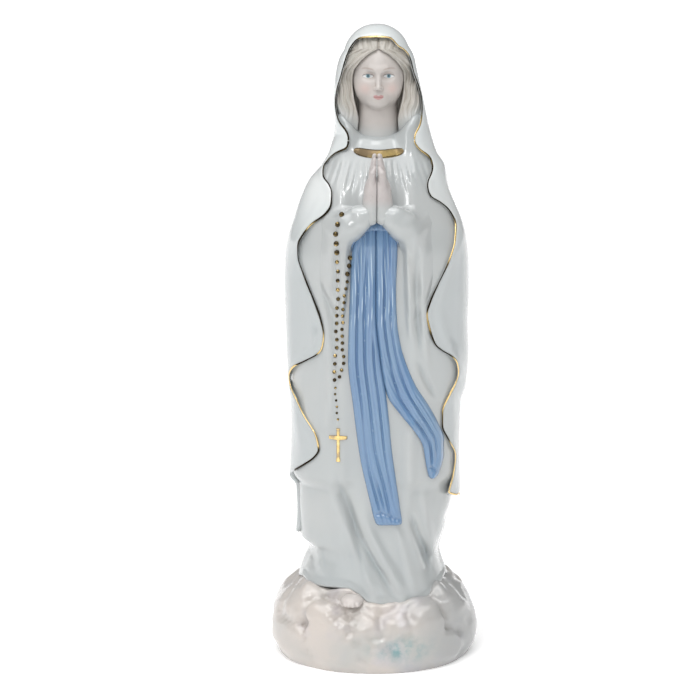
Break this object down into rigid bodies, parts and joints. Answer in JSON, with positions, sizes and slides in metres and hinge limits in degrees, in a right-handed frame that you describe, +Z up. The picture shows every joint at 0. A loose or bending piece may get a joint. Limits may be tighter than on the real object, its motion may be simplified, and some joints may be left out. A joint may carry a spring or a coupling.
{
  "type": "madonna statue",
  "caption": "Standing porcelain madonna statue with praying hands, veil and mantle, blue sash and gilt rosary, on a rounded rock base.",
  "frame": {"origin": "centre of the underside of the rock base, on the plane that it stands on", "axes": "+Z up, the figure faces -Y, +X to a viewer's right as they face it"},
  "size_m": [0.099, 0.084, 0.3],
  "materials": {
    "white_glaze": "clear gloss glaze over white porcelain",
    "flesh_bisque": "smooth satin bisque with painted features",
    "hair_paint": "satin painted bisque, pale warm grey",
    "blue_glaze": "gloss light blue underglaze",
    "rock_glaze": "pearly gloss, cream with a pale teal patch",
    "gold_lustre": "bright fired gold lustre"
  },
  "bodies": {
    "root": {"rock_base": "rock_glaze", "right_foot": "white_glaze", "gown": "white_glaze", "mantle": "white_glaze", "head": "flesh_bisque", "hair": "hair_paint", "right_hand": "flesh_bisque", "left_hand": "flesh_bisque", "right_sleeve": "white_glaze", "left_sleeve": "white_glaze", "sash_waistband": "blue_glaze", "sash_long_tail": "blue_glaze", "sash_short_tail": "blue_glaze", "collar_band": "gold_lustre", "veil_gold_trim": "gold_lustre", "right_mantle_gold_trim": "gold_lustre", "left_mantle_gold_trim": "gold_lustre", "rosary_outer_strand": "gold_lustre", "rosary_inner_strand": "gold_lustre", "rosary_cross": "gold_lustre"}
  },
  "joints": []
}
